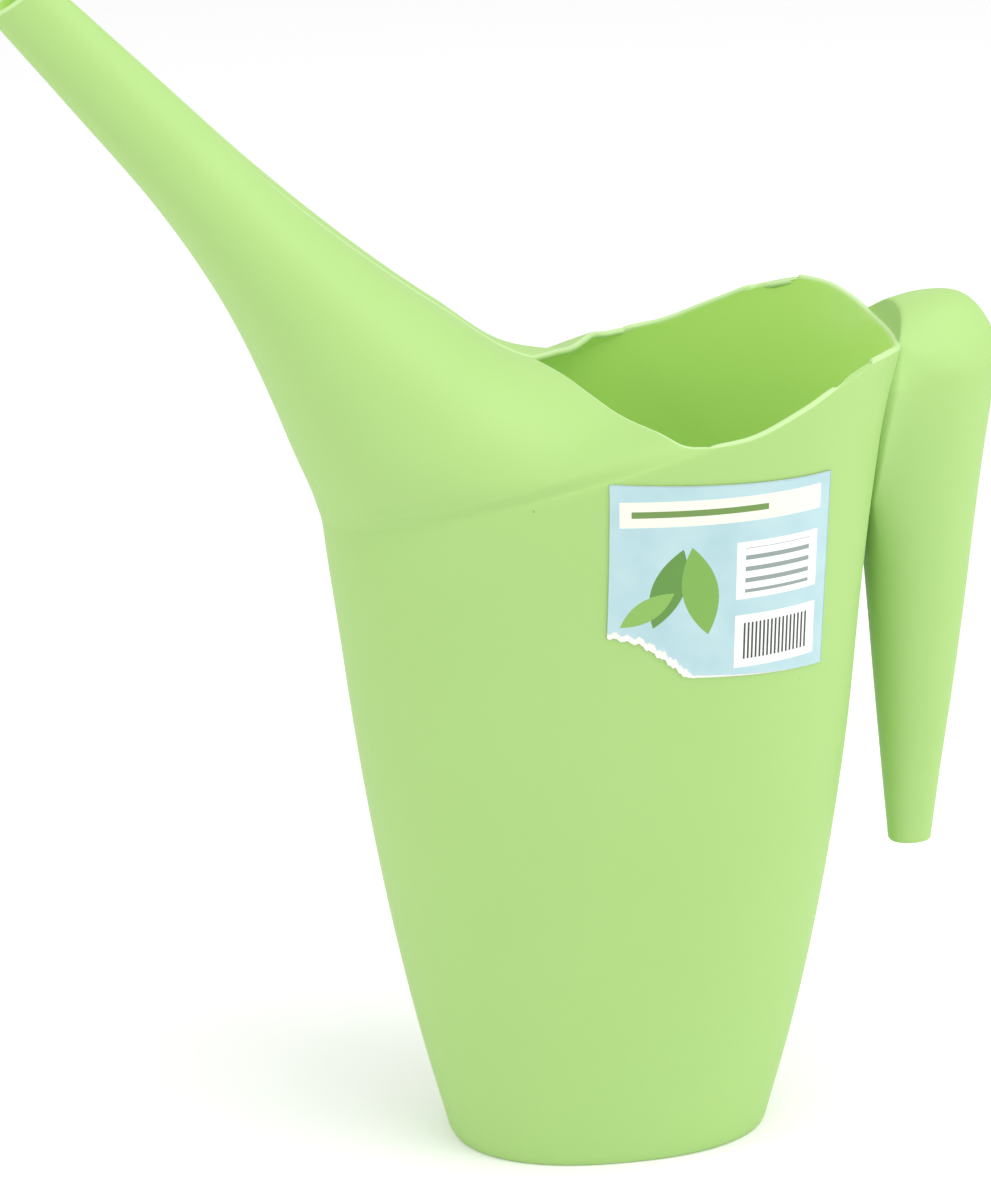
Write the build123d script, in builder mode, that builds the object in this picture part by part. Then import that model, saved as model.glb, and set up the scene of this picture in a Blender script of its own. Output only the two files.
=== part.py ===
from build123d import *
from math import cos, pi, sin
import os

# Watering can: one injection moulding in polypropylene, with a paper label stuck on its side.
# +Z is up, the spout points towards -X and the handle hangs at +X.
# The origin is the middle of the base, on the surface that the can stands on. Sizes are in millimetres.
# The moulding is stored as four regions that meet face to face: base, body, spout and handle.

# ---- walls ----
WALL = 2.0
FLOOR = 2.4
FOOT_RECESS = 2.0
FOOT_WIDTH = 3.2
BASE_HEIGHT = 8.0

# ---- cross-section of the can: a rounded oval, wider towards its back by the egg value ----
SQUARENESS = 2.3
OVAL_POINTS = 16
LOFT_STEPS = 32

# ---- cross-sections from the base to the tip ----
# Each is (front x, front z, back x, back z, half width, egg, depth of the cleft along the back).
# The front point runs up the belly and the underside of the spout. The back point runs up the rear wall,
# across the mouth, which is cut open afterwards, and along the top of the spout.
BASE_SECTION = (-45.5, 0, 45.5, 0, 31.5, 0, 0)
BODY_SECTIONS = [
    (-53.5, 30, 52.8, 30, 36.5, 0.02, 0),
    (-60.3, 60, 58.6, 60, 41, 0.04, 0),
    (-66, 90, 63, 90, 45.2, 0.07, 0),
    (-70.8, 120, 66.5, 122, 48.5, 0.10, 0),
    (-75.5, 155, 70, 168, 51.5, 0.14, 0),
    (-78.7, 178, 74.5, 208, 53.2, 0.22, 0),
]
MOUTH_SECTIONS = [
    (-80, 188, 88, 246, 53.5, 0.27, 0),
    (-81, 190.6, 44, 234.2, 46.5, 0.27, 0),
    (-82.5, 196, 3, 224.6, 38.5, 0.15, 0),
    (-86, 204, -22, 225.8, 34.5, 0.05, 0),
]
SPOUT_ROOT = (-93, 222.5, -46, 246.5, 30, 0, 0.6)
SPOUT_SECTIONS = [
    (-104, 247.8, -69, 264.5, 25, 0, 1.2),
    (-120.5, 275.5, -94.3, 287.2, 18, 0, 1.8),
    (-144, 306, -124.5, 317.4, 11.5, 0, 2.2),
]
TIP_SECTION = (-168.5, 336.5, -154, 347, 6.5, 0, 2.2)

# ---- inside of the can ----
# The outer-wall sections that set the inner floor and the way out past the open tip.
INNER_FLOOR_SECTION = (-46.7, FOOT_RECESS + FLOOR, 46.6, FOOT_RECESS + FLOOR, 32.2, 0, 0)
PAST_TIP_SECTION = (-174.5, 342.5, -160, 353, 6.5, 0, 2.2)

# ---- rim, seen from the side: (x, z), from the notch at the spout to the crest at the rear ----
RIM_LINE = [(-22, 225.4), (-8, 222.6), (8, 219.2), (24, 220.5), (42, 227), (58, 234.3), (80, 240.3), (93, 241.5)]
CREST_LINE = [(103, 237.5), (109.5, 224)]
CUT_FAR_X = 130
CUT_TOP = 270
CUT_HALF_WIDTH = 80

# ---- mouth, seen from above ----
# Inner edge of one half of the opening, from the spout to its widest place.
MOUTH_PLAN = [(-20, 0), (-15, 9), (-8, 22), (0, 34), (10, 43), (24, 49), (38, 50)]
MOUTH_FROM = 200

# ---- gap along the top of the spout: side view of the cutter ----
SPOUT_GAP = 0.8
GAP_BELOW = [(-16, 216), (-46, 238), (-69, 256), (-94, 279), (-124, 309), (-163, 346)]
GAP_ABOVE = [(-150, 362), (-90, 320), (-16, 262)]

# ---- handle: (front x, back x, height, half width) ----
HANDLE_WALL = 2.2
HANDLE_SECTIONS = [
    (82, 94.2, 79, 5.0),
    (79.8, 96.2, 100, 7.5),
    (77.2, 99, 125, 10.5),
    (74.6, 101.6, 151, 13),
    (72, 103.6, 175, 15.5),
    (68, 105.4, 195, 18.5),
    (62, 107.4, 212, 23),
    (56, 109.2, 228, 29),
    (50, 110, 244, 34),
]
HOLLOW_START = (82.5, 93.9, 74, 4.6)
HOLLOW_END = (68, 104, 234, 20)

# ---- label: outlines seen from the side, (x, z), on the near wall ----
LABEL_GLUE = 0.03
PAPER_THICKNESS = 0.12
PRINT_THICKNESS = 0.10
PAPER_OUTLINE = [(-11.3, 210.4), (50.6, 208.4), (50, 151.6), (10.4, 154.2), (4.5, 159.5), (-2.5, 164.8), (-12, 167.4)]
PRINT_OUTLINE = [(-11.3, 210.4), (50.6, 208.4), (50, 151.6), (11.6, 154.1), (5.6, 160.6), (-1.8, 166), (-12, 168.4)]
LABEL_REACH = 80


def oval(section, inset=0.0):
    """Face of one cross-section: a rounded oval with a cleft at its back, drawn inset by a wall."""
    front_x, front_z, back_x, back_z, half_width, egg, cleft = section
    front = Vector(front_x, 0, front_z)
    back = Vector(back_x, 0, back_z)
    across = (back - front).normalized()
    half_length = (back - front).length / 2 - inset
    plane = Plane(origin=(front + back) / 2, x_dir=across, z_dir=across.cross(Vector(0, 1, 0)))
    points = []
    for step in range(OVAL_POINTS):
        angle = pi + 2 * pi * step / OVAL_POINTS
        along = abs(cos(angle)) ** (2 / SQUARENESS)
        side = abs(sin(angle)) ** (2 / SQUARENESS)
        along = along if cos(angle) > 0 else -along
        side = side if sin(angle) > 0 else -side
        side = side * (half_width - inset) * (1 + egg * along)
        along = along * half_length
        if step == OVAL_POINTS // 2:
            along = along - cleft
        points.append((along, side))
    with BuildSketch(plane) as sketch:
        with BuildLine():
            Spline(*points, periodic=True)
        make_face()
    return sketch.sketch


def level_section(front_x, back_x, height, half_width):
    """A level cross-section of the handle, in the form that oval() takes."""
    return (front_x, height, back_x, height, half_width, 0, 0)


def monotone_curve(knots, values, steps):
    """Cubic curve through (knot, value) pairs that never overshoots, read off at evenly spaced steps."""
    widths = [b - a for a, b in zip(knots, knots[1:])]
    slopes = [(b - a) / w for a, b, w in zip(values, values[1:], widths)]
    tangents = [slopes[0]]
    for before, after, width_before, width_after in zip(slopes, slopes[1:], widths, widths[1:]):
        weight_before = 2 * width_after + width_before
        weight_after = width_after + 2 * width_before
        flat = before * after <= 0
        total = weight_before + weight_after
        tangents.append(0 if flat else total / (weight_before / before + weight_after / after))
    tangents.append(slopes[-1])
    result = []
    for step in range(steps + 1):
        at = knots[-1] * step / steps
        span = max(i for i in range(len(widths)) if knots[i] <= at + 1e-9)
        width = widths[span]
        u = (at - knots[span]) / width
        ends = values[span] * (1 + 2 * u) * (1 - u) ** 2 + values[span + 1] * u * u * (3 - 2 * u)
        lean = width * (tangents[span] * u * (1 - u) ** 2 - tangents[span + 1] * u * u * (1 - u))
        result.append(ends + lean)
    return result


def even_sections(sections):
    """The same family of cross-sections at even spacing, so that a loft runs smoothly through them."""
    knots = [0]
    for (fx0, fz0, bx0, bz0, *_), (fx1, fz1, bx1, bz1, *_) in zip(sections, sections[1:]):
        front_run = Vector(fx1 - fx0, 0, fz1 - fz0).length
        middle_run = Vector(fx1 + bx1 - fx0 - bx0, 0, fz1 + bz1 - fz0 - bz0).length / 2
        knots.append(knots[-1] + (front_run + middle_run) / 2)
    return list(zip(*[monotone_curve(knots, column, LOFT_STEPS) for column in zip(*sections)]))


TOP_SECTIONS = BODY_SECTIONS + MOUTH_SECTIONS + [SPOUT_ROOT] + SPOUT_SECTIONS + [TIP_SECTION]
OUTER_SECTIONS = even_sections([BASE_SECTION] + TOP_SECTIONS)
INNER_SECTIONS = even_sections([INNER_FLOOR_SECTION] + TOP_SECTIONS + [PAST_TIP_SECTION])
SIDE_SECTIONS = OUTER_SECTIONS[8:20]

# ---------------------------------------------------------------- solids that the pieces are cut from
with BuildPart() as outer_form:
    add([oval(section) for section in OUTER_SECTIONS])
    loft(ruled=True)

with BuildPart() as inner_form:
    add([oval(section, WALL) for section in INNER_SECTIONS])
    loft(ruled=True)

# Everything above the rim is cut away. The rim line is the same on both sides.
with BuildPart() as above_rim:
    with BuildSketch(Plane.XZ):
        with BuildLine():
            rim_line = Spline(*RIM_LINE)
            crest_line = Spline(rim_line @ 1, *CREST_LINE, tangents=[rim_line % 1, (0, -1)])
            Polyline(
                crest_line @ 1, (CUT_FAR_X, CREST_LINE[-1][1]), (CUT_FAR_X, CUT_TOP), (RIM_LINE[0][0], CUT_TOP), rim_line @ 0
            )
        make_face()
    extrude(amount=CUT_HALF_WIDTH, both=True)

# Seen from above, everything inside the rim is open as far as its widest place.
with BuildPart() as mouth:
    with BuildSketch(Plane.XY.offset(MOUTH_FROM)) as mouth_plan:
        with BuildLine() as mouth_edge:
            Polyline(*MOUTH_PLAN)
            Line(MOUTH_PLAN[-1], (MOUTH_PLAN[-1][0], 0))
            mirror(about=Plane.XZ)
        make_face()
    extrude(amount=CUT_TOP - MOUTH_FROM, dir=(0, 0, 1))

# The two rolled edges of the spout meet along its top with a hairline gap between them.
with BuildPart() as gap:
    with BuildSketch(Plane.XZ):
        with BuildLine():
            Polyline(*GAP_BELOW, *GAP_ABOVE, close=True)
        make_face()
    extrude(amount=SPOUT_GAP / 2, both=True)

# ---------------------------------------------------------------- the moulding
with BuildPart() as shell:
    add(outer_form.part)
    add(inner_form.part, mode=Mode.SUBTRACT)
    add(above_rim.part, mode=Mode.SUBTRACT)
    add(mouth.part, mode=Mode.SUBTRACT)
    add(gap.part, mode=Mode.SUBTRACT)
    add(oval(BASE_SECTION, FOOT_WIDTH))
    extrude(amount=FOOT_RECESS, dir=(0, 0, 1), mode=Mode.SUBTRACT)

base_plane = Plane.XY.offset(BASE_HEIGHT)
root_front = Vector(SPOUT_ROOT[0], 0, SPOUT_ROOT[1])
root_back = Vector(SPOUT_ROOT[2], 0, SPOUT_ROOT[3])
root_across = (root_back - root_front).normalized()
spout_plane = Plane(origin=root_front, x_dir=root_across, z_dir=root_across.cross(Vector(0, 1, 0)))

with BuildPart() as base:
    add(shell.part)
    split(bisect_by=base_plane, keep=Keep.BOTTOM)

with BuildPart() as body:
    add(shell.part)
    split(bisect_by=base_plane, keep=Keep.TOP)
    split(bisect_by=spout_plane, keep=Keep.BOTTOM)

with BuildPart() as spout:
    add(shell.part)
    split(bisect_by=spout_plane, keep=Keep.TOP)

# The hand-hold is a hollow tapering tongue that hangs from the rear of the rim, open at its lower end.
with BuildPart() as handle:
    add([oval(level_section(*section)) for section in HANDLE_SECTIONS])
    loft()
    with BuildPart(mode=Mode.PRIVATE) as hollow:
        hollow_sections = [HOLLOW_START] + HANDLE_SECTIONS[1:-2] + [HOLLOW_END]
        add([oval(level_section(*section), HANDLE_WALL) for section in hollow_sections])
        loft()
    add(hollow.part, mode=Mode.SUBTRACT)
    add(above_rim.part, mode=Mode.SUBTRACT)
    add(outer_form.part, mode=Mode.SUBTRACT)


# ---------------------------------------------------------------- the label
def side_layer(outline, inner_height, outer_height):
    """A thin layer that follows the near wall, cut to an outline seen from the side."""
    with BuildPart() as layer:
        add([oval(section, -outer_height) for section in SIDE_SECTIONS])
        loft(ruled=True)
        with BuildPart(mode=Mode.PRIVATE) as under:
            add([oval(section, -inner_height) for section in SIDE_SECTIONS])
            loft(ruled=True)
        add(under.part, mode=Mode.SUBTRACT)
        with BuildSketch(Plane.XZ):
            with BuildLine():
                Polyline(*outline, close=True)
            make_face()
        extrude(amount=LABEL_REACH, mode=Mode.INTERSECT)
    return layer.part


paper_top = LABEL_GLUE + PAPER_THICKNESS
with BuildPart() as label_paper:
    add(side_layer(PAPER_OUTLINE, LABEL_GLUE, paper_top))

with BuildPart() as label_print:
    add(side_layer(PRINT_OUTLINE, paper_top, paper_top + PRINT_THICKNESS))

# ---------------------------------------------------------------- one file for each node
NODES = {
    "base": base,
    "body": body,
    "spout": spout,
    "handle": handle,
    "label_paper": label_paper,
    "label_print": label_print,
}
os.makedirs("parts", exist_ok=True)
for name, node in NODES.items():
    node.part.label = name
    export_step(node.part, f"parts/{name}.step")
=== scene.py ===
import math

import bpy
import numpy as np
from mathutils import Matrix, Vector


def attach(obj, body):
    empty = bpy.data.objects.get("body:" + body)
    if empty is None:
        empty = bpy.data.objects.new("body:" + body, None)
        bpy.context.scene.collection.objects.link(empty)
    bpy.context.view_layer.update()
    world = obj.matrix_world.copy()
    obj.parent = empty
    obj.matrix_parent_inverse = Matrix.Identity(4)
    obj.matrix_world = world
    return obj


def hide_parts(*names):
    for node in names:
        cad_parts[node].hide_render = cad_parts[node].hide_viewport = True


# Watering can: one injection moulding in polypropylene with a torn paper label on its side.
# Lengths are worked out in millimetres and put into the meshes in metres.

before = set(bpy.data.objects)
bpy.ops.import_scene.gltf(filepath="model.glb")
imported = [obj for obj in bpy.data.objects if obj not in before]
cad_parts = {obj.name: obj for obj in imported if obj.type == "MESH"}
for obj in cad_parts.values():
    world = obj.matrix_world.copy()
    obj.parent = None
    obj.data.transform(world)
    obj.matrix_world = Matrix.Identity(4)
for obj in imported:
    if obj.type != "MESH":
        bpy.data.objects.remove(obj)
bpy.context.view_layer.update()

MM = 0.001

# ---------------------------------------------------------------- shape of the can
# One family of cross-sections runs from the foot, up through the body, tilts over and shrinks into
# the spout. Each row: front x, front z, back x, back z, half width, how much fuller it is towards
# the back, depth of the cleft along the top, squareness.
SECTIONS = np.array([
    (-45.5, 0, 45.5, 0, 31.5, 0, 0, 2.3),
    (-53.5, 30, 52.8, 30, 36.5, 0.02, 0, 2.3),
    (-60.3, 60, 58.6, 60, 41, 0.04, 0, 2.3),
    (-66, 90, 63, 90, 45.2, 0.07, 0, 2.3),
    (-70.8, 120, 66.5, 122, 48.5, 0.10, 0, 2.3),
    (-75.5, 155, 70, 168, 51.5, 0.13, 0, 2.25),
    (-78.7, 178, 74.5, 208, 53.2, 0.17, 0, 2.15),
    (-80, 188, 82, 242, 53.2, 0.22, 0, 2.05),
    (-81, 190.6, 44, 234.2, 46.5, 0.25, 0, 2.1),
    (-82.5, 196, 3, 226.3, 38.5, 0.15, 0, 2.2),
    (-86, 204, -21, 230.3, 34, 0.05, 0, 2.3),
    (-93, 222.5, -46, 246.5, 30, 0, 0.6, 2.3),
    (-104, 247.8, -69, 264.5, 25, 0, 1.2, 2.3),
    (-120.5, 275.5, -94.3, 287.2, 18, 0, 1.8, 2.3),
    (-144, 306, -124.5, 317.4, 11.5, 0, 2.2, 2.3),
    (-168.5, 336.5, -154, 347, 6.5, 0, 2.2, 2.3),
])
WALL = 2.0
FLOOR_Z = 4.4
FOOT_RECESS = 2.0

# The rim seen from the side, from the root of the spout to the crest over the handle.
RIM_LINE = np.array([
    (-22, 225.4), (-8, 222.6), (8, 219.2), (24, 220.5), (42, 227), (58, 234.3), (64, 235.7), (70, 235.4),
    (75, 233.6), (79, 231.2), (90, 229),
])
# Inner edge of one half of the mouth seen from above, where the wall runs nearly level.
MOUTH_EDGE = np.array([(-22, 0), (-15, 10.5), (-11.5, 17.4), (-8, 24.1), (-4, 31.3), (0, 37.7), (5.3, 44), (11, 49)])
# Half the gap that stays open between the two rolled edges along the top of the spout.
SLIT = 1.25
TIP_MARGIN = 0.012

# Handle: front x, back x, height, half width.
HANDLE = np.array([
    (82, 94.2, 79.5, 5),
    (79.8, 96.2, 100, 7.5),
    (77.2, 99, 125, 10.5),
    (74.6, 101.6, 151, 13),
    (72, 103.6, 175, 15.5),
    (68, 105.4, 195, 18.5),
    (64, 107.4, 212, 20.5),
    (60, 108.8, 224, 21),
    (62, 107.8, 230, 19),
    (68, 105.8, 234.3, 15),
    (76, 103.3, 237.7, 11.5),
    (83, 100.8, 239.8, 8.5),
    (89, 98.2, 240.9, 5),
    (92.5, 95.5, 241.4, 1.2),
])
HANDLE_ROOT = (158, 186)
HANDLE_FILLET = 6.0
HANDLE_WALL = 2.2


def monotone(knots, values, at):
    """Cubic curve through (knot, value) columns that never overshoots, read off at the given places:
    Hermite pieces whose tangents are the weighted harmonic mean of the slopes on either side."""
    widths = np.diff(knots)
    slopes = np.diff(values, axis=0) / widths[:, None]
    before, after = slopes[:-1], slopes[1:]
    weight_before = (2 * widths[1:] + widths[:-1])[:, None]
    weight_after = (widths[1:] + 2 * widths[:-1])[:, None]
    same = before * after > 0
    safe_before = np.where(same, before, 1)
    safe_after = np.where(same, after, 1)
    mean = (weight_before + weight_after) / (weight_before / safe_before + weight_after / safe_after)
    tangents = np.vstack([slopes[:1], np.where(same, mean, 0), slopes[-1:]])
    span = np.clip(np.searchsorted(knots, at, side="right") - 1, 0, len(widths) - 1)
    width = widths[span]
    u = ((at - knots[span]) / width)[..., None]
    width = width[..., None]
    ends = values[span] * (1 + 2 * u) * (1 - u) ** 2 + values[span + 1] * u * u * (3 - 2 * u)
    lean = width * (tangents[span] * u * (1 - u) ** 2 - tangents[span + 1] * u * u * (1 - u))
    return ends + lean


def run_of(sections):
    """Distance along the family: the mean of the run of the front points and of the middles."""
    front = np.hypot(*np.diff(sections[:, :2], axis=0).T)
    middle = np.hypot(*np.diff(sections[:, :2] + sections[:, 2:4], axis=0).T) / 2
    return np.concatenate([[0], np.cumsum((front + middle) / 2)])


KNOTS = run_of(SECTIONS)
KNOTS /= KNOTS[-1]
TABLE_STEPS = 1200
EASE = 0.014


def eased_family():
    """The family read off at even places and eased with a bell-shaped running mean, so that no
    crease is left where a row of SECTIONS turns the wall quickly. The ends keep their values."""
    at = np.linspace(0, 1, TABLE_STEPS + 1)
    table = monotone(KNOTS, SECTIONS, at)
    reach = int(3 * EASE * TABLE_STEPS)
    bell = np.exp(-((np.arange(-reach, reach + 1) / (EASE * TABLE_STEPS)) ** 2) / 2)
    bell /= bell.sum()
    before = 2 * table[:1] - table[reach:0:-1]
    after = 2 * table[-1:] - table[-2:-reach - 2:-1]
    long_table = np.vstack([before, table, after])
    eased = np.stack([np.convolve(column, bell, "valid") for column in long_table.T], axis=-1)
    eased[:, 2:4] = table[:, 2:4]
    return eased


FAMILY = eased_family()


def section_at(t):
    """Row of the eased family at place t."""
    scaled = np.clip(t, 0, 1) * TABLE_STEPS
    low = np.clip(scaled.astype(int), 0, TABLE_STEPS - 1)
    share = (scaled - low)[..., None]
    return FAMILY[low] * (1 - share) + FAMILY[low + 1] * share


def signed_power(value, power):
    """Power of the size of a number, with its sign kept."""
    return np.sign(value) * np.abs(value) ** power


def wall(t, angle):
    """Outer wall at place t along the family (0 foot, 1 tip) and angle round the section (0 front,
    pi back): a superellipse between the section's front and back points, its side scaled by
    1 + egg * along, its top drawn in by the cleft. The result is x, y, z in millimetres."""
    t, angle = np.broadcast_arrays(np.asarray(t, float), angle)
    row = section_at(t)
    fx, fz, bx, bz, half_width, egg, cleft, squareness = np.moveaxis(row, -1, 0)
    along = -signed_power(np.cos(angle), 2 / squareness)
    side = signed_power(np.sin(angle), 2 / squareness)
    length = np.hypot(bx - fx, bz - fz)
    dip = cleft * np.exp(-((side / 0.28) ** 2)) * (along > 0)
    share = (1 + along) / 2 - dip / length
    return np.stack([
        fx + (bx - fx) * share,
        half_width * side * (1 + egg * along),
        fz + (bz - fz) * share,
    ], axis=-1)


def wall_normal(t, angle):
    """Outward unit normal of the wall: the cross product of its two numerical tangents."""
    step_t, step_a = 2e-4, 2e-3
    low_t = np.clip(t - step_t, 0, 1)
    high_t = np.clip(t + step_t, 0, 1)
    along = wall(high_t, angle) - wall(low_t, angle)
    round_it = wall(t, angle + step_a) - wall(t, angle - step_a)
    normal = np.cross(round_it, along)
    size = np.linalg.norm(normal, axis=-1, keepdims=True)
    normal = normal / np.maximum(size, 1e-9)
    outward = wall(t, angle) - wall(t, angle + np.pi)
    flip = np.sign(np.sum(normal * outward, axis=-1, keepdims=True))
    return normal * np.where(flip == 0, 1, flip)


def smooth_line(points):
    """Finely spaced points of the smooth curve through a few, for reading off by interpolation."""
    points = points.astype(float)
    at = np.linspace(points[0, 0], points[-1, 0], 600)
    return at, monotone(points[:, 0], points[:, 1:], at)[:, 0]


RIM_X, RIM_Z = smooth_line(RIM_LINE)
MOUTH_X, MOUTH_Y = smooth_line(MOUTH_EDGE)


def openness(t, angle):
    """Above zero where the moulding is open, in millimetres past the edge: inside the mouth's plan
    by the spout, passing gradually into above the rim line further back; and the slit."""
    x, y, z = np.moveaxis(wall(t, angle), -1, 0)
    above = z - np.interp(x, RIM_X, RIM_Z)
    inside = np.interp(x, MOUTH_X, MOUTH_Y) - np.abs(y)
    share = np.clip((x + 6) / 18, 0, 1)
    share = share * share * (3 - 2 * share)
    mouth = np.minimum(inside * (1 - share) + above * share, np.minimum(x - MOUTH_X[0], z - 205))
    on_spout = (t > (KNOTS[9] + KNOTS[10]) / 2) & (np.cos(angle) < 0)
    return np.maximum(mouth, np.where(on_spout, SLIT - np.abs(y), -1.0))


def snapped(t, angle):
    """The grid with each vertex that is nearest to where the edge of the moulding crosses a grid
    line moved onto the edge, by bisection along that line. Returns t, angle and openness there."""
    value = openness(t, angle)
    best = np.full(t.shape, 0.5)
    new_t, new_angle = t.copy(), angle.copy()
    for axis, step in ((0, 1), (0, -1), (1, 1), (1, -1)):
        other_t = np.roll(t, step, axis)
        other_angle = np.roll(angle, step, axis)
        other = np.roll(value, step, axis)
        turn = other_angle - angle
        turn = turn - 2 * np.pi * np.round(turn / (2 * np.pi))
        beside = np.abs(other_t - t) < 0.5
        low, high = np.zeros(t.shape), np.ones(t.shape)
        for _ in range(16):
            middle = (low + high) / 2
            same = (openness(t + (other_t - t) * middle, angle + turn * middle) > 0) == (value > 0)
            low = np.where(same, middle, low)
            high = np.where(same, high, middle)
        nearer = ((value > 0) != (other > 0)) & beside & (high <= best)
        best = np.where(nearer, high, best)
        new_t = np.where(nearer, t + (other_t - t) * high, new_t)
        new_angle = np.where(nearer, angle + turn * high, new_angle)
    return new_t, new_angle, np.where(best < 0.5, 0.0, value)


COLUMNS = 168
BODY_ROWS = 70
MOUTH_ROWS = 130
SPOUT_ROWS = 66
EDGE_STEPS = 6


def level_ring(section, inset, height, angle):
    """Ring of the section drawn in by inset and laid level at a height."""
    fx, _, bx, _, half_width, egg, _, squareness = section
    along = -signed_power(np.cos(angle), 2 / squareness)
    side = signed_power(np.sin(angle), 2 / squareness)
    inset = np.asarray(inset)[:, None]
    half = (bx - fx) / 2 - inset
    wide = np.maximum(half_width - inset, 0)
    x = (fx + bx) / 2 + half * along
    y = wide * side * (1 + egg * along)
    return np.stack([x, y, np.broadcast_to(np.asarray(height)[:, None], x.shape)], axis=-1)


def grid_faces(index):
    """Quads between neighbouring rows and columns of a grid of vertex numbers."""
    a, b = index[:-1, :-1], index[:-1, 1:]
    c, d = index[1:, 1:], index[1:, :-1]
    return np.stack([a, b, c, d], axis=-1).reshape(-1, 4)


def closed_round(index):
    """The grid with its first column repeated at the end, so that the rows close."""
    return np.hstack([index, index[:, :1]])


def trimmed(faces, value):
    """Quads that keep only wall: one open corner makes a triangle (its corner takes the next one's
    number), two or more drop the quad, and so does a quad with no corner inside the wall."""
    gone = value[faces] > 0
    inside = (value[faces] < 0).any(axis=1)
    following = np.roll(faces, -1, axis=1)
    faces = np.where(gone, following, faces)
    return faces[(gone.sum(axis=1) < 2) & inside]


def border(faces):
    """Directed edges that only one face uses."""
    start = faces.reshape(-1)
    end = np.roll(faces, -1, axis=1).reshape(-1)
    real = start != end
    start, end = start[real], end[real]
    key = np.minimum(start, end) * (faces.max() + 1) + np.maximum(start, end)
    _, where, count = np.unique(key, return_inverse=True, return_counts=True)
    single = count[where.reshape(-1)] == 1
    return start[single], end[single]


def make_mesh(name, points, faces, materials, kinds=None, uv=None):
    """Mesh object from vertices in millimetres and quads: coinciding vertices become one, quads
    that lose a corner become triangles, and the whole is turned outwards if its volume is negative."""
    key = np.round(points * 20000).astype(np.int64)
    _, first, same = np.unique(key, axis=0, return_index=True, return_inverse=True)
    faces = same.reshape(-1)[faces]
    kinds = np.zeros(len(faces), int) if kinds is None else kinds
    points = points[first] * MM
    double = faces == np.roll(faces, -1, axis=1)
    lost = double.sum(axis=1)
    quads, triangles = faces[lost == 0], faces[lost == 1][~double[lost == 1]].reshape(-1, 3)
    quads_kind, triangles_kind = kinds[lost == 0], kinds[lost == 1]
    crossed = (quads[:, 0] == quads[:, 2]) | (quads[:, 1] == quads[:, 3])
    quads, quads_kind = quads[~crossed], quads_kind[~crossed]
    corner = points[quads]
    volume = np.sum(corner[:, 0] * np.cross(corner[:, 1], corner[:, 2]))
    volume += np.sum(corner[:, 0] * np.cross(corner[:, 2], corner[:, 3]))
    if volume < 0:
        quads, triangles = quads[:, ::-1], triangles[:, ::-1]
    mesh = bpy.data.meshes.new(name)
    mesh.from_pydata(points.tolist(), [], quads.tolist() + triangles.tolist())
    mesh.polygons.foreach_set("material_index", np.concatenate([quads_kind, triangles_kind]).astype(np.int32))
    mesh.polygons.foreach_set("use_smooth", np.ones(len(mesh.polygons), bool))
    for material in materials:
        mesh.materials.append(material)
    if uv is not None:
        layer = mesh.uv_layers.new(name="UVMap")
        loops = np.zeros(len(mesh.loops), np.int32)
        mesh.loops.foreach_get("vertex_index", loops)
        layer.data.foreach_set("uv", uv[first][loops].astype(np.float32).ravel())
    mesh.validate()
    mesh.update()
    piece = bpy.data.objects.new(name, mesh)
    bpy.context.scene.collection.objects.link(piece)
    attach(piece, "root")
    return piece


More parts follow.
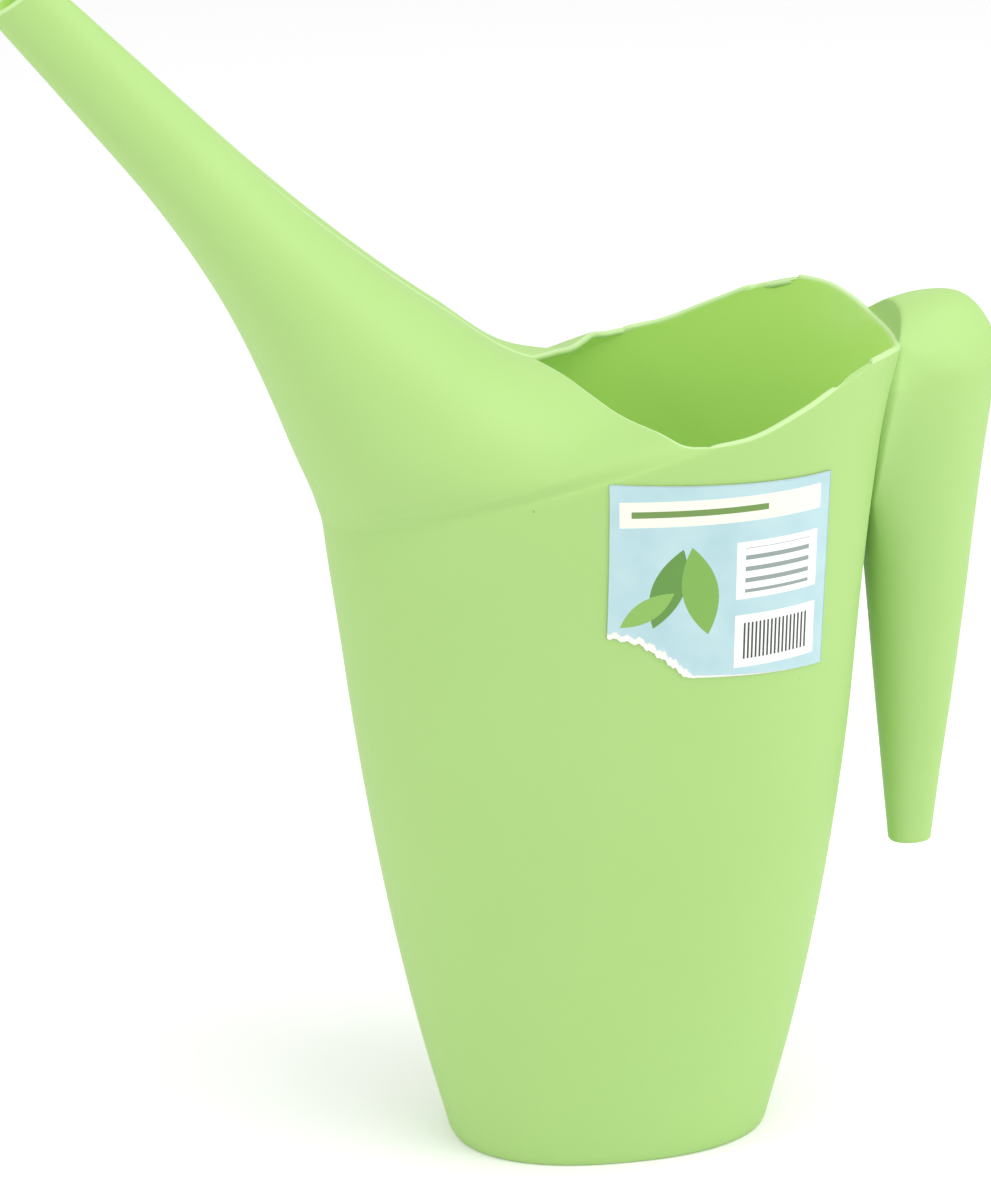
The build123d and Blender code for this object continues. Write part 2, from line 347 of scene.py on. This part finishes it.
def can_shell(materials):
    """The can's wall as one closed skin. Outer and inner sheets share rows and columns, the inner
    one set back along the normal by the wall; a half-round band joins them round the mouth, along
    the slit and round the tip; level rings close the foot and the floor."""
    round_it = np.arange(COLUMNS) / COLUMNS * 2 * np.pi
    rows = np.concatenate([
        np.linspace(0.004, KNOTS[5], BODY_ROWS)[:-1], np.linspace(KNOTS[5], KNOTS[10], MOUTH_ROWS)[:-1],
        np.linspace(KNOTS[10], 1 - TIP_MARGIN, SPOUT_ROWS),
    ])
    t, angle = np.meshgrid(rows, round_it, indexing="ij")
    t, angle, value = snapped(t, angle)
    outer = wall(t, angle)
    normal = wall_normal(t, angle)
    inner = outer - WALL * normal

    # foot: rings from the middle of the recess out over the foot ring to the first wall row
    foot_inset = np.array([31.5, 24, 16, 10, 7, 6.0, 5.4, 5.1, 4.9, 4.3, 3.2, 1.4, 0.7, 0.25, 0.05])
    foot_z = np.array([1, 1, 1, 1, 1, 1, 0.88, 0.6, 0.18, 0, 0, 0, 0.05, 0.2, 0.5]) * FOOT_RECESS
    foot = level_ring(SECTIONS[0], foot_inset, foot_z, round_it)

    # floor inside: rings from the middle out to the fillet, then the wall rows above it
    first = int(np.argmax(inner[:, 0, 2] > FLOOR_Z + 4.5))
    turn = np.linspace(0, np.pi / 2, 6)[:-1]
    ends = inner[first, [0, COLUMNS // 2]]
    base = np.array([ends[0, 0], 0, ends[1, 0], 0, inner[first, :, 1].max(), 0, 0, 2.3])
    fillet = ends[0, 2] - FLOOR_Z
    floor_inset = np.concatenate([[base[4], 24, 18, 12, 8], fillet * (1 - np.sin(turn))])
    floor_z = np.concatenate([[FLOOR_Z] * 5, FLOOR_Z + fillet * (1 - np.cos(turn))])
    floor = level_ring(base, floor_inset, floor_z, round_it)

    outer_all = np.concatenate([foot, outer])
    inner_all = np.concatenate([floor, inner[first:]])
    outer_index = np.arange(outer_all[..., 0].size).reshape(outer_all.shape[:2])
    inner_index = outer_index.size + np.arange(inner_all[..., 0].size).reshape(inner_all.shape[:2])
    kept = np.concatenate([
        np.full(foot[..., 0].size, -1.0), value.reshape(-1),
        np.full(floor[..., 0].size, -1.0), value[first:].reshape(-1),
    ])
    outside = trimmed(grid_faces(closed_round(outer_index))[:, ::-1], kept)
    inside = trimmed(grid_faces(closed_round(inner_index)), kept)

    # edge: a half round from the outer to the inner sheet along every border but the foot's middle
    start, end = border(outside)
    above = start >= len(foot) * COLUMNS
    start, end = start[above], end[above]
    wall_start, wall_end = start - len(foot) * COLUMNS, end - len(foot) * COLUMNS
    flat_outer, flat_normal, flat_inner = (v.reshape(-1, 3) for v in (outer, normal, inner))
    along = flat_outer[wall_end] - flat_outer[wall_start]
    across = np.zeros(flat_outer.shape)
    for ids in (wall_start, wall_end):
        np.add.at(across, ids, np.cross(along, flat_normal[ids]))
    across /= np.maximum(np.linalg.norm(across, axis=1, keepdims=True), 1e-9)
    used, place = np.unique(np.concatenate([wall_start, wall_end]), return_inverse=True)
    bend = np.linspace(0, np.pi, EDGE_STEPS + 1)[1:-1, None, None]
    band = (flat_outer[used] * (1 + np.cos(bend)) + flat_inner[used] * (1 - np.cos(bend))) / 2
    band = band + across[used] * (WALL / 2) * np.sin(bend) * 0.9
    band_index = np.vstack([
        used + len(foot) * COLUMNS,
        outer_index.size + inner_index.size + np.arange(band[..., 0].size).reshape(band.shape[:2]),
        used + outer_index.size + (len(floor) - first) * COLUMNS,
    ])
    first_end, second_end = np.split(place.reshape(-1), 2)
    a, b = band_index[:, second_end], band_index[:, first_end]
    edge = np.stack([a[:-1], b[:-1], b[1:], a[1:]], axis=-1).reshape(-1, 4)

    points = np.concatenate([outer_all.reshape(-1, 3), inner_all.reshape(-1, 3), band.reshape(-1, 3)])
    faces = np.concatenate([outside, inside, edge])
    kinds = np.concatenate([np.zeros(len(outside), int), np.ones(len(inside), int), np.full(len(edge), 2)])
    return make_mesh("can_wall", points, faces, materials, kinds)


def back_wall(y, z):
    """x of the back of the can's outer wall at given y and height: bisection on the place t, with
    the way along the section worked out from y by repeated substitution."""
    y, z = np.broadcast_arrays(np.abs(y), z)
    low = np.full(y.shape, KNOTS[3])
    high = np.full(y.shape, KNOTS[8])
    for _ in range(30):
        middle = (low + high) / 2
        fx, fz, bx, bz, half_width, egg, _, squareness = np.moveaxis(section_at(middle), -1, 0)
        along = np.ones(y.shape)
        for _ in range(6):
            side = np.clip(y / (half_width * (1 + egg * along)), 0, 0.999)
            along = (1 - side ** squareness) ** (1 / squareness)
        below = fz + (bz - fz) * (1 + along) / 2 < z
        low = np.where(below, middle, low)
        high = np.where(below, high, middle)
    return fx + (bx - fx) * (1 + along) / 2


def handle_tube(materials):
    """The hanging handle: level superellipse sections from the open lower end up to the crest,
    which they close over as a dome. Above the gap the part in front of the can's wall is laid into
    the wall, and the flank flares by an exponential of its distance from the wall, as a fillet."""
    knots = np.concatenate([[0], np.cumsum(np.linalg.norm(np.diff(HANDLE[:, 1:], axis=0), axis=1))])
    at = np.linspace(0, knots[-1], 190)
    front, back, height, half = monotone(knots, HANDLE, at).T
    turn = np.linspace(-np.pi, np.pi, 161)
    along = -signed_power(np.cos(turn), 2 / 2.2)
    side = signed_power(np.sin(turn), 2 / 2.2)

    def ring(f, b, z, w):
        """Level superellipse rings from front x, back x, height and half width."""
        f, b, z, w = (np.atleast_1d(v)[:, None] for v in (f, b, z, w))
        x = (f + b) / 2 + (b - f) / 2 * along
        return np.stack([x, w * side, np.broadcast_to(z, x.shape)], axis=-1)

    outer = ring(front, back, height, half)
    x, y, z = np.moveaxis(outer, -1, 0)
    start, full = HANDLE_ROOT
    grow = np.clip((z - start) / (full - start), 0, 1)
    grow = grow * grow * (3 - 2 * grow)
    fade = np.clip((236 - z) / 14, 0, 1)
    away = np.clip(x - back_wall(y, z), 0, None)
    flare = HANDLE_FILLET * grow * fade * np.exp(-away / HANDLE_FILLET) * np.clip(np.abs(y) / 8, 0, 1)
    y = y + np.sign(y) * flare
    sunk = back_wall(y, z) - 0.8
    x = np.where(z > start, np.maximum(x, sunk), x)
    outer = np.stack([x, y, z], axis=-1)

    low = ring([front[0] + 0.8, front[0] + 0.25], [back[0] - 0.8, back[0] - 0.25], [79.02, 79.15], [4.2, 4.75])
    depth = np.linspace(0, 1, 24)
    deep = monotone(knots, HANDLE, depth * knots[4]).T
    skin = HANDLE_WALL - 0.9 * (1 - depth) ** 2
    inner = ring(deep[0] + skin, deep[1] - skin, deep[2] + 0.2, deep[3] - skin)
    lip = ring(deep[0][0] + 1.35, deep[1][0] - 1.35, 79.02, deep[3][0] - 1.35)
    cap_share = np.array([0.7, 0.3, 0.0])[:, None, None]
    inner_top = inner[-1].mean(axis=0) * (1 - cap_share) + inner[-1] * cap_share
    outer_top = outer[-1].mean(axis=0) * (1 - cap_share) + outer[-1] * cap_share
    sheet = np.concatenate([inner_top[::-1], inner[::-1], lip, low, outer, outer_top])
    index = np.arange(sheet.shape[0] * sheet.shape[1]).reshape(sheet.shape[:2])
    faces = grid_faces(index)
    kinds = np.zeros(len(faces), int)
    return make_mesh("handle_tube", sheet.reshape(-1, 3), faces, materials, kinds)


# ---------------------------------------------------------------- label
PAPER_TOP = ((-11.3, 210.4), (50.6, 208.4))
PAPER_TORN = ((-12, 167.4), (-2.5, 164.8), (4.5, 159.5), (10.4, 154.2), (50, 151.6))
PRINT_TORN = ((-12, 169.2), (-1.8, 166.6), (5.6, 161.2), (12.4, 154.9), (50, 151.6))


def on_side(x, z):
    """Place t and y of the near side of the wall at given x and z: t by bisection on which side of
    the section's line the point lies, then y from the superellipse."""
    low = np.full(x.shape, KNOTS[3])
    high = np.full(x.shape, KNOTS[7])
    for _ in range(40):
        middle = (low + high) / 2
        fx, fz, bx, bz = np.moveaxis(section_at(middle)[..., :4], -1, 0)
        above = (bx - fx) * (z - fz) - (bz - fz) * (x - fx) > 0
        low = np.where(above, middle, low)
        high = np.where(above, high, middle)
    fx, fz, bx, bz, half_width, egg, _, squareness = np.moveaxis(section_at(low), -1, 0)
    along = 2 * ((x - fx) * (bx - fx) + (z - fz) * (bz - fz)) / ((bx - fx) ** 2 + (bz - fz) ** 2) - 1
    side = (1 - np.abs(along) ** squareness) ** (1 / squareness)
    return -half_width * side * (1 + egg * along)


def label_ply(name, torn, ragged, stand_off, thickness, material):
    """A ply of the label laid on the wall: a grid between its top edge and its torn lower edge,
    whose raggedness is a sum of sines, closed by a back face and sides."""
    across = np.linspace(0, 1, 121)
    down = np.linspace(0, 1, 81)
    (left_x, left_z), (right_x, right_z) = PAPER_TOP
    torn_x, torn_z = np.array(torn).T
    x = left_x + (right_x - left_x) * across
    top = left_z + (right_z - left_z) * across
    bottom = np.interp(x, torn_x, torn_z)
    tear = np.clip((14 - x) / 6, 0, 1)
    bottom = bottom + tear * ragged * (np.sin(x * 1.9) + 0.6 * np.sin(x * 4.3 + 1) + 0.4 * np.sin(x * 8.1))
    grid_x = np.broadcast_to(x[:, None] - 0.6 * down, (121, 81))
    grid_z = top[:, None] + (bottom - top)[:, None] * down
    depth = on_side(grid_x, grid_z)
    front = np.stack([grid_x, depth - stand_off - thickness, grid_z], axis=-1)
    rear = np.stack([grid_x, depth - stand_off, grid_z], axis=-1)
    count = 121 * 81
    index = np.arange(count).reshape(121, 81)
    loop = np.concatenate([index[:, 0], index[-1, 1:], index[-2::-1, -1], index[0, -2::-1]])
    sides = grid_faces(np.stack([loop, loop + count]))
    faces = np.concatenate([grid_faces(index), grid_faces(index + count)[:, ::-1], sides[:, ::-1]])
    points = np.concatenate([front.reshape(-1, 3), rear.reshape(-1, 3)])
    uv = np.stack(np.broadcast_arrays((grid_x + 12) / 62.6, (grid_z - 151) / 59.4), axis=-1).reshape(-1, 2)
    return make_mesh(name, points, faces, [material], uv=np.concatenate([uv, uv]))


# ---------------------------------------------------------------- materials
def rgb(code):
    """Linear colour of an sRGB hex code."""
    parts = np.array([int(code[i:i + 2], 16) for i in (0, 2, 4)]) / 255
    linear = np.where(parts <= 0.04045, parts / 12.92, ((parts + 0.055) / 1.055) ** 2.4)
    return (*linear.tolist(), 1.0)


def add_node(material, kind, settings=(), inputs=()):
    """Adds one node with its settings, and sets or links its inputs."""
    node = material.node_tree.nodes.new(kind)
    for name, value in dict(settings).items():
        setattr(node, name, value)
    for name, value in dict(inputs).items():
        if isinstance(value, bpy.types.NodeSocket):
            material.node_tree.links.new(value, node.inputs[name])
        else:
            node.inputs[name].default_value = value
    return node


def new_material(name):
    """Empty node material with its shader and output joined."""
    material = bpy.data.materials.new(name)
    material.use_nodes = True
    material.node_tree.nodes.clear()
    shader = add_node(material, "ShaderNodeBsdfPrincipled")
    add_node(material, "ShaderNodeOutputMaterial", inputs={"Surface": shader.outputs[0]})
    return material, shader


def polypropylene(name, deep, light, roughness, grain, painted_glow):
    """Moulded polypropylene: two close greens in slow drifts, a fine spark-eroded grain, and a painted glow in the
    lighter green that stands in for light shining through the wall.
    """
    material, shader = new_material(name)
    link = material.node_tree.links.new
    place = add_node(material, "ShaderNodeTexCoord").outputs["Object"]
    drift = add_node(material, "ShaderNodeTexNoise", inputs={"Vector": place, "Scale": 14.0, "Detail": 3.0})
    tone = add_node(material, "ShaderNodeMix", {"data_type": "RGBA"}, {
        "Factor": drift.outputs["Fac"], 6: rgb(deep), 7: rgb(light),
    })
    speck = add_node(material, "ShaderNodeTexVoronoi", inputs={"Vector": place, "Scale": 42.0})
    small = add_node(material, "ShaderNodeMapRange", inputs={
        "Value": speck.outputs["Distance"], "From Min": 0.012, "From Max": 0.022, "To Min": 0.35, "To Max": 0.0,
    })
    marked = add_node(material, "ShaderNodeMix", {"data_type": "RGBA"}, {
        "Factor": small.outputs[0], 6: tone.outputs[2], 7: rgb("5A6B35"),
    })
    link(marked.outputs[2], shader.inputs["Base Color"])
    # grain about half a millimetre across
    texture = add_node(material, "ShaderNodeTexNoise", inputs={"Vector": place, "Scale": 1600.0, "Detail": 2.0})
    bump = add_node(material, "ShaderNodeBump", inputs={
        "Strength": grain, "Distance": 0.0002, "Height": texture.outputs["Fac"],
    })
    link(bump.outputs[0], shader.inputs["Normal"])
    shader.inputs["Roughness"].default_value = roughness
    shader.inputs["IOR"].default_value = 1.49
    # Emission is painted light: a glow standing in for light shining through the thin wall.
    shader.inputs["Emission Color"].default_value = rgb(light)
    shader.inputs["Emission Strength"].default_value = painted_glow
    return material


def torn_paper():
    """Torn paper: off-white with soft fibres."""
    material, shader = new_material("torn_white_paper")
    link = material.node_tree.links.new
    place = add_node(material, "ShaderNodeTexCoord").outputs["Object"]
    fibre = add_node(material, "ShaderNodeTexNoise", inputs={"Vector": place, "Scale": 900.0, "Detail": 4.0})
    tone = add_node(material, "ShaderNodeMix", {"data_type": "RGBA"}, {
        "Factor": fibre.outputs["Fac"], 6: rgb("DADAD2"), 7: rgb("FAFAF6"),
    })
    link(tone.outputs[2], shader.inputs["Base Color"])
    bump = add_node(material, "ShaderNodeBump", inputs={
        "Strength": 0.5, "Distance": 0.0001, "Height": fibre.outputs["Fac"],
    })
    link(bump.outputs[0], shader.inputs["Normal"])
    shader.inputs["Roughness"].default_value = 0.85
    return material


def math_node(material, operation, *values):
    """Result of one arithmetic step on numbers or sockets."""
    node = add_node(material, "ShaderNodeMath", {"operation": operation}, dict(enumerate(values)))
    return node.outputs[0]


def box_mask(material, u, v, low_u, high_u, low_v, high_v):
    """1 inside a rectangle of the label, 0 outside."""
    inside = [
        math_node(material, "GREATER_THAN", u, low_u), math_node(material, "LESS_THAN", u, high_u),
        math_node(material, "GREATER_THAN", v, low_v), math_node(material, "LESS_THAN", v, high_v),
    ]
    left = math_node(material, "MULTIPLY", inside[0], inside[1])
    right = math_node(material, "MULTIPLY", inside[2], inside[3])
    return math_node(material, "MULTIPLY", left, right)


def leaf_mask(material, u, v, centre_u, centre_v, half, lean):
    """1 inside a leaf: where |across| is less than a parabola of the way along, turned by lean."""
    du = math_node(material, "SUBTRACT", u, centre_u)
    dv = math_node(material, "SUBTRACT", v, centre_v)
    cosine, sine = math.cos(lean), math.sin(lean)
    along = math_node(material, "ADD", math_node(material, "MULTIPLY", du, cosine),
                      math_node(material, "MULTIPLY", dv, sine))
    across = math_node(material, "SUBTRACT", math_node(material, "MULTIPLY", dv, cosine),
                       math_node(material, "MULTIPLY", du, sine))
    share = math_node(material, "DIVIDE", along, half)
    edge = math_node(material, "SUBTRACT", 1.0, math_node(material, "MULTIPLY", share, share))
    width = math_node(material, "MULTIPLY", edge, half * 0.36)
    return math_node(material, "LESS_THAN", math_node(material, "ABSOLUTE", across), width)


def printed_label():
    """Varnished printed paper: pale blue ground, a plain band, plain leaves and a white panel of
    even bars. None of it is lettering or a readable code."""
    material, shader = new_material("printed_label_paper")
    link = material.node_tree.links.new
    uv = add_node(material, "ShaderNodeTexCoord").outputs["UV"]
    parts = add_node(material, "ShaderNodeSeparateXYZ", inputs={"Vector": uv})
    u, v = parts.outputs[0], parts.outputs[1]
    cloud = add_node(material, "ShaderNodeTexNoise", inputs={"Vector": uv, "Scale": 5.0, "Detail": 2.0})
    colour = add_node(material, "ShaderNodeMix", {"data_type": "RGBA"}, {
        "Factor": cloud.outputs["Fac"], 6: rgb("9FC4CB"), 7: rgb("C0DADD"),
    }).outputs[2]

    def paint(mask, code):
        """Lays a colour over the print where the mask is 1."""
        return add_node(material, "ShaderNodeMix", {"data_type": "RGBA"}, {
            "Factor": mask, 6: colour, 7: rgb(code),
        }).outputs[2]

    colour = paint(box_mask(material, u, v, 0.05, 0.95, 0.80, 0.92), "E9EEDD")
    colour = paint(box_mask(material, u, v, 0.10, 0.70, 0.845, 0.875), "6E8F4A")
    for centre_u, centre_v, half, lean, code in (
        (0.26, 0.50, 0.20, 1.25, "5E8F3E"), (0.40, 0.48, 0.22, 1.75, "7BAA4C"), (0.17, 0.40, 0.14, 0.6, "86B457"),
    ):
        colour = paint(leaf_mask(material, u, v, centre_u, centre_v, half, lean), code)
    colour = paint(box_mask(material, u, v, 0.56, 0.94, 0.42, 0.70), "F1F2EC")
    rows = math_node(material, "FRACT", math_node(material, "MULTIPLY", v, 18.0))
    lines = math_node(material, "MULTIPLY", math_node(material, "LESS_THAN", rows, 0.4),
                      box_mask(material, u, v, 0.60, 0.90, 0.45, 0.67))
    colour = paint(lines, "8C9A98")
    colour = paint(box_mask(material, u, v, 0.56, 0.94, 0.08, 0.34), "F4F5F0")
    columns = math_node(material, "FRACT", math_node(material, "MULTIPLY", u, 55.0))
    bars = math_node(material, "MULTIPLY", math_node(material, "LESS_THAN", columns, 0.5),
                     box_mask(material, u, v, 0.60, 0.90, 0.12, 0.30))
    colour = paint(bars, "3E4442")
    link(colour, shader.inputs["Base Color"])
    shader.inputs["Roughness"].default_value = 0.42
    shader.inputs["IOR"].default_value = 1.45
    return material


# Outside: matt moulding from a spark-eroded cavity.
outside_green = polypropylene("polypropylene_matt_outside", "A2C874", "A8CE7C", 0.58, 0.12, 0.0)
# Inside: polished core side. Its yellower greens and its glow are painted light, standing in for light that passes
# through the wall.
inside_green_painted_glow = polypropylene("polypropylene_polished_inside_painted_glow", "A4CC66", "AAD26E", 0.24, 0.02, 0.2)
# Edge: cut and rounded edge. Its lighter greens are a painted highlight along the rounded rim.
painted_highlight_edge_green = polypropylene("polypropylene_rounded_edge_painted_highlight", "B6D692", "BEDC9A", 0.4, 0.05, 0.0)

# ---------------------------------------------------------------- pieces
greens = [outside_green, inside_green_painted_glow, painted_highlight_edge_green]
can = can_shell(greens)
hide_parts("base", "body", "spout")
handle = handle_tube(greens)
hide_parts("handle")
paper = label_ply("label_paper_ply", PAPER_TORN, 0.35, 0.25, 0.12, torn_paper())
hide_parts("label_paper")
printed = label_ply("label_printed_face", PRINT_TORN, 0.5, 0.38, 0.08, printed_label())
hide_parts("label_print")


# ---------------------------------------------------------------- floor, light, camera
def stage_floor():
    """Pale floor that curves up far behind: a sheet whose height is the square of the way past its
    bend."""
    x = np.linspace(-4, 4, 9)
    y = np.linspace(-3, 6, 61)
    rise = np.clip(y - 2.0, 0, None) ** 2 * 0.3
    grid = np.stack(np.broadcast_arrays(x[:, None], y[None], rise[None]), axis=-1).reshape(-1, 3)
    index = np.arange(len(grid)).reshape(9, 61)
    mesh = bpy.data.meshes.new("studio_floor")
    mesh.from_pydata(grid.tolist(), [], grid_faces(index)[:, ::-1].tolist())
    mesh.polygons.foreach_set("use_smooth", [True] * len(mesh.polygons))
    material, shader = new_material("white_paper_floor")
    shader.inputs["Base Color"].default_value = rgb("F6F6F6")
    shader.inputs["Emission Color"].default_value = rgb("FFFFFF")
    shader.inputs["Emission Strength"].default_value = 0.1
    shader.inputs["Roughness"].default_value = 0.9
    mesh.materials.append(material)
    floor = bpy.data.objects.new("studio_floor", mesh)
    bpy.context.scene.collection.objects.link(floor)


def soft_light(name, where, size, power):
    """Square softbox aimed at the middle of the can."""
    data = bpy.data.lights.new(name, "AREA")
    data.shape = "SQUARE"
    data.size = size
    data.energy = power
    light = bpy.data.objects.new(name, data)
    light.location = where
    light.rotation_mode = "QUATERNION"
    light.rotation_quaternion = (Vector((0, 0, 0.18)) - Vector(where)).to_track_quat("-Z", "Y")
    bpy.context.scene.collection.objects.link(light)


stage_floor()
world = bpy.data.worlds.new("studio")
world.use_nodes = True
world.node_tree.nodes["Background"].inputs["Color"].default_value = (1, 1, 1, 1)
world.node_tree.nodes["Background"].inputs["Strength"].default_value = 0.78
bpy.context.scene.world = world
soft_light("overhead_softbox", (0.35, -0.35, 1.4), 1.1, 9)
soft_light("right_softbox", (1.2, -0.7, 0.7), 0.8, 5)
soft_light("left_softbox", (-1.3, -0.35, 1.1), 0.45, 5)
bpy.context.scene.view_settings.view_transform = "Standard"

AZIMUTH = math.radians(-12)
ELEVATION = math.radians(21)
TARGET = Vector((-0.015, 0, 0.150))
back = Vector((
    math.sin(AZIMUTH) * math.cos(ELEVATION), -math.cos(AZIMUTH) * math.cos(ELEVATION), math.sin(ELEVATION),
))
camera_data = bpy.data.cameras.new("camera")
camera_data.sensor_width = 36
camera_data.lens = 162.45
camera_data.shift_x = -0.0503
camera_data.shift_y = 0.0265
camera = bpy.data.objects.new("camera", camera_data)
camera.location = TARGET + back * 1.5
camera.rotation_mode = "QUATERNION"
camera.rotation_quaternion = (-back).to_track_quat("-Z", "Y")
camera_data.clip_start = 0.05
camera_data.clip_end = 50
bpy.context.scene.collection.objects.link(camera)
bpy.context.scene.camera = camera
